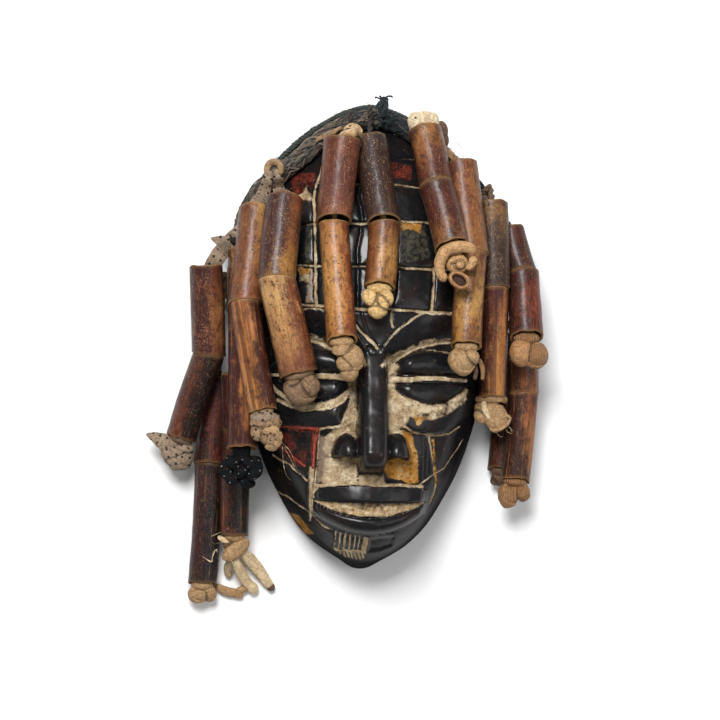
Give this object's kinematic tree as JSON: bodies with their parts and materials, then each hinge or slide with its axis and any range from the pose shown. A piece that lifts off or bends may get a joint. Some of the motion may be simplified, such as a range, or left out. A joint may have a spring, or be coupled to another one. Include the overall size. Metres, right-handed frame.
{
  "type": "carved face mask with bamboo dreadlocks",
  "caption": "Long wooden face mask with a hollow back, lying face up, with paired bamboo tubes on knotted leather thongs looped over a fibre roll round the crown.",
  "frame": {"origin": "bottom centre of the whole object's box, on the plane of the mask's flat back rim", "axes": "+Z out of the face, away from what the mask lies on; +Y from the chin to the crown; +X to the right as the face is looked at"},
  "size_m": [0.2874, 0.3876, 0.1199],
  "materials": {
    "painted_wood": "satin black paint worn to pale wood, with red and ochre panels",
    "smoked_bamboo": "glossy dark red-brown, scorched and speckled",
    "golden_bamboo": "glossy golden brown with dark freckles",
    "light_leather": "dry matt hide, some of it punched with rows of small holes",
    "dark_leather": "dry matt black hide",
    "grey_fibre": "matted grey-brown fibre",
    "dark_thread": "dark blue-green thread"
  },
  "bodies": {
    "root": {"carved_mask": "painted_wood", "crown_roll": "grey_fibre", "edge_cord": "dark_thread", "light_cord": "light_leather", "thread_tuft": "dark_thread", "left_1_upper_tube": "smoked_bamboo", "left_1_lower_tube": "smoked_bamboo", "left_1_thong": "light_leather", "left_2_upper_tube": "smoked_bamboo", "left_2_lower_tube": "smoked_bamboo", "left_2_thong": "light_leather", "left_3_upper_tube": "smoked_bamboo", "left_3_lower_tube": "golden_bamboo", "left_3_thong": "dark_leather", "left_4_upper_tube": "smoked_bamboo", "left_4_lower_tube": "smoked_bamboo", "left_4_thong": "light_leather", "left_5_upper_tube": "smoked_bamboo", "left_5_lower_tube": "golden_bamboo", "left_5_thong": "light_leather", "left_6_upper_tube": "smoked_bamboo", "left_6_lower_tube": "golden_bamboo", "centre_1_upper_tube": "smoked_bamboo", "centre_1_lower_tube": "golden_bamboo", "centre_1_thong": "light_leather", "centre_2_upper_tube": "smoked_bamboo", "centre_2_lower_tube": "golden_bamboo", "centre_2_thong": "light_leather", "right_1_upper_tube": "smoked_bamboo", "right_1_lower_tube": "smoked_bamboo", "right_1_thong": "light_leather", "right_2_upper_tube": "smoked_bamboo", "right_2_lower_tube": "golden_bamboo", "right_2_thong": "light_leather", "right_3_upper_tube": "smoked_bamboo", "right_3_lower_tube": "golden_bamboo", "right_3_thong": "light_leather", "right_4_upper_tube": "smoked_bamboo", "right_4_lower_tube": "smoked_bamboo", "right_4_thong": "light_leather", "right_5_upper_tube": "smoked_bamboo", "right_5_lower_tube": "golden_bamboo", "right_5_thong": "light_leather", "right_6_upper_tube": "smoked_bamboo", "right_6_lower_tube": "smoked_bamboo", "right_6_thong": "light_leather"}
  },
  "joints": []
}
